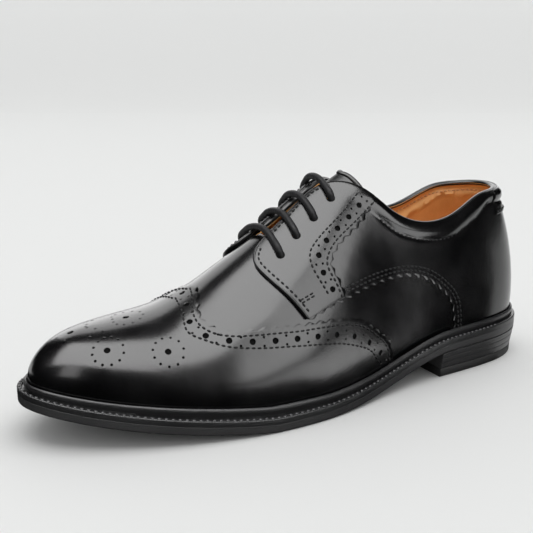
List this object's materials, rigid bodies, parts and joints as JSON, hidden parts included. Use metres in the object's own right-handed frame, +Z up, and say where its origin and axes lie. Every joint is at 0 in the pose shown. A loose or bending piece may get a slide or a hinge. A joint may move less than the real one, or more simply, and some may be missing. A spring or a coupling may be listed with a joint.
{
  "type": "leather derby shoe",
  "caption": "Left leather derby shoe with a pointed wing tip, open-laced facings, padded collar, storm welt and low stacked heel.",
  "frame": {"origin": "on the floor, under the middle of the sole's length and width", "axes": "+Z up, toe towards -Y, the shoe's outer side towards +X"},
  "size_m": [0.1045, 0.3, 0.1157],
  "materials": {
    "box_calf": "black smooth calf, polished to a soft gloss",
    "lining_leather": "tan vegetable lining leather, matt",
    "sole_leather": "black dyed leather, edge trimmed and waxed",
    "welt_leather": "black dyed leather, wheeled and stitched",
    "heel_leather": "black dyed stacked leather, waxed",
    "top_piece_rubber": "black heel rubber, matt",
    "waxed_cord": "black round waxed cotton cord"
  },
  "bodies": {
    "root": {"outsole": "sole_leather", "welt": "welt_leather", "heel_stack": "heel_leather", "heel_top_piece": "top_piece_rubber", "insole": "lining_leather", "upper": "box_calf", "tongue": "box_calf", "wing_tip": "box_calf", "facing_outer": "box_calf", "facing_inner": "box_calf", "heel_tab": "box_calf", "lace_bar_1": "waxed_cord", "lace_bar_2": "waxed_cord", "lace_bar_3": "waxed_cord", "lace_bar_4": "waxed_cord"}
  },
  "joints": []
}
